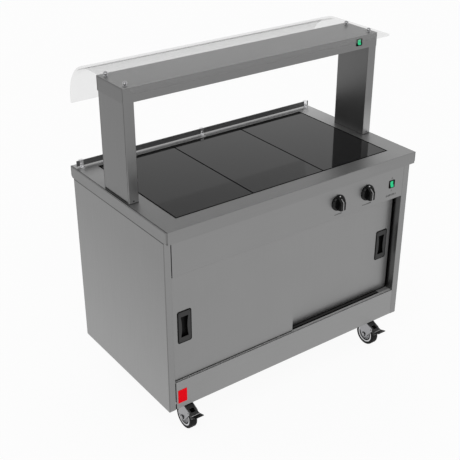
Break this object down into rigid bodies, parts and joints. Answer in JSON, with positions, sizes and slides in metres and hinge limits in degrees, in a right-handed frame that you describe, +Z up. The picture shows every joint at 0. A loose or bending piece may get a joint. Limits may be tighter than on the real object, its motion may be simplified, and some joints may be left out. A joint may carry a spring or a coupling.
{
  "type": "hot cupboard servery counter",
  "caption": "Mobile hot cupboard servery counter: heated black tile worktop, sliding-door cupboard, heat-lamp gantry with bent glass screen, knobs and braked swivel castors.",
  "frame": {"origin": "on the floor under the middle of the worktop", "axes": "+Z up, +X to the right seen from the operator's side, -Y towards the operator (doors and controls), +Y towards the customer"},
  "size_m": [1.155, 0.6875, 1.335],
  "materials": {
    "stainless": "satin grained stainless sheet",
    "galvanised": "dull zinc-coated sheet",
    "tile_glass": "polished black ceramic glass",
    "seal": "matt black silicone",
    "heater_mat": "red-brown silicone mat",
    "aluminium": "mill finish extrusion",
    "black_plastic": "fine textured black moulding",
    "nylon": "natural nylon",
    "element_sheath": "heat-darkened sheath",
    "control_body": "cream phenolic moulding",
    "green_lens": "translucent green moulding",
    "knob_plastic": "semi-gloss black moulding",
    "reflector": "bright rolled reflector sheet",
    "quartz": "clear quartz tube",
    "ceramic": "white steatite",
    "clear_glass": "polished clear toughened glass",
    "chrome": "polished chrome plate",
    "dark_rail": "satin dark grey coating",
    "zinc": "bright zinc plate",
    "pedal_plastic": "black glass-filled nylon",
    "hub_plastic": "grey moulded nylon",
    "tyre": "black solid rubber tread"
  },
  "bodies": {
    "cabinet": {"worktop": "stainless", "hot_tiles": "tile_glass", "tile_seal": "seal", "tile_heaters": "heater_mat", "heater_tray": "galvanised", "side_panels": "stainless", "back_panel": "stainless", "chassis": "galvanised", "base_panel": "stainless", "plinth": "stainless", "control_panel": "stainless", "compartment_roof": "galvanised", "cupboard_liner": "stainless", "shelf": "stainless", "shelf_supports": "stainless", "door_tracks": "aluminium", "cupboard_element": "element_sheath", "element_baffle": "stainless", "thermostat": "control_body", "energy_regulator": "control_body", "switch_bodies": "black_plastic", "terminal_block": "control_body", "cable_gland": "black_plastic", "uprights": "stainless", "upright_feet": "galvanised", "canopy": "stainless", "reflector": "reflector", "lamps": "quartz", "lamp_holders": "ceramic", "glass_screen": "clear_glass", "glass_studs": "chrome", "rear_rail": "dark_rail", "rear_clips": "chrome", "castor_plates": "zinc"},
    "door_left": {"door_left_outer": "stainless", "door_left_inner": "stainless", "door_left_handle": "black_plastic", "door_left_glides": "nylon"},
    "door_right": {"door_right_outer": "stainless", "door_right_inner": "stainless", "door_right_handle": "black_plastic", "door_right_glides": "nylon"},
    "panel_rocker": {"panel_rocker": "green_lens"},
    "canopy_rocker": {"canopy_rocker": "green_lens"},
    "heat_knob": {"heat_knob": "knob_plastic"},
    "top_knob": {"top_knob": "knob_plastic"},
    "pedal_left": {"pedal_left": "pedal_plastic"},
    "pedal_right": {"pedal_right": "pedal_plastic"},
    "castor_fl": {"fork_fl": "zinc"},
    "wheel_fl": {"hub_fl": "hub_plastic", "tyre_fl": "tyre"},
    "castor_fr": {"fork_fr": "zinc"},
    "wheel_fr": {"hub_fr": "hub_plastic", "tyre_fr": "tyre"},
    "castor_rl": {"fork_rl": "zinc"},
    "wheel_rl": {"hub_rl": "hub_plastic", "tyre_rl": "tyre"},
    "castor_rr": {"fork_rr": "zinc"},
    "wheel_rr": {"hub_rr": "hub_plastic", "tyre_rr": "tyre"}
  },
  "joints": [
    {"name": "door_left_slide", "type": "slide", "parent": "cabinet", "child": "door_left", "axis": [1, 0, 0], "range_m": [0, 0.538]},
    {"name": "door_right_slide", "type": "slide", "parent": "cabinet", "child": "door_right", "axis": [-1, 0, 0], "range_m": [-0.005, 0.533]},
    {"name": "heat_knob_turn", "type": "hinge", "parent": "cabinet", "child": "heat_knob", "pos_m": [0.203, -0.313, 0.776], "axis": [0, 1, 0], "range_deg": [0, 300]},
    {"name": "top_knob_turn", "type": "hinge", "parent": "cabinet", "child": "top_knob", "pos_m": [0.354, -0.313, 0.776], "axis": [0, 1, 0], "range_deg": [0, 300]},
    {"name": "panel_rocker_tip", "type": "hinge", "parent": "cabinet", "child": "panel_rocker", "pos_m": [0.486, -0.311, 0.776], "axis": [1, 0, 0], "range_deg": [0, 20]},
    {"name": "canopy_rocker_tip", "type": "hinge", "parent": "cabinet", "child": "canopy_rocker", "pos_m": [0.477, -0.084, 1.2945], "axis": [1, 0, 0], "range_deg": [0, 20]},
    {"name": "swivel_fl", "type": "hinge", "parent": "cabinet", "child": "castor_fl", "pos_m": [-0.4708, -0.225, 0.12], "axis": [0, 0, 1], "continuous": true},
    {"name": "wheel_spin_fl", "type": "hinge", "parent": "castor_fl", "child": "wheel_fl", "pos_m": [-0.4708, -0.263, 0.05], "axis": [1, 0, 0], "continuous": true},
    {"name": "swivel_fr", "type": "hinge", "parent": "cabinet", "child": "castor_fr", "pos_m": [0.4708, -0.225, 0.12], "axis": [0, 0, 1], "continuous": true},
    {"name": "wheel_spin_fr", "type": "hinge", "parent": "castor_fr", "child": "wheel_fr", "pos_m": [0.4708, -0.263, 0.05], "axis": [1, 0, 0], "continuous": true},
    {"name": "swivel_rl", "type": "hinge", "parent": "cabinet", "child": "castor_rl", "pos_m": [-0.4708, 0.225, 0.12], "axis": [0, 0, 1], "continuous": true},
    {"name": "wheel_spin_rl", "type": "hinge", "parent": "castor_rl", "child": "wheel_rl", "pos_m": [-0.4708, 0.187, 0.05], "axis": [1, 0, 0], "continuous": true},
    {"name": "swivel_rr", "type": "hinge", "parent": "cabinet", "child": "castor_rr", "pos_m": [0.4708, 0.225, 0.12], "axis": [0, 0, 1], "continuous": true},
    {"name": "wheel_spin_rr", "type": "hinge", "parent": "castor_rr", "child": "wheel_rr", "pos_m": [0.4708, 0.187, 0.05], "axis": [1, 0, 0], "continuous": true},
    {"name": "brake_left", "type": "hinge", "parent": "castor_fl", "child": "pedal_left", "pos_m": [-0.4708, -0.302, 0.09], "axis": [1, 0, 0], "range_deg": [0, 12]},
    {"name": "brake_right", "type": "hinge", "parent": "castor_fr", "child": "pedal_right", "pos_m": [0.4708, -0.302, 0.09], "axis": [1, 0, 0], "range_deg": [0, 12]}
  ]
}
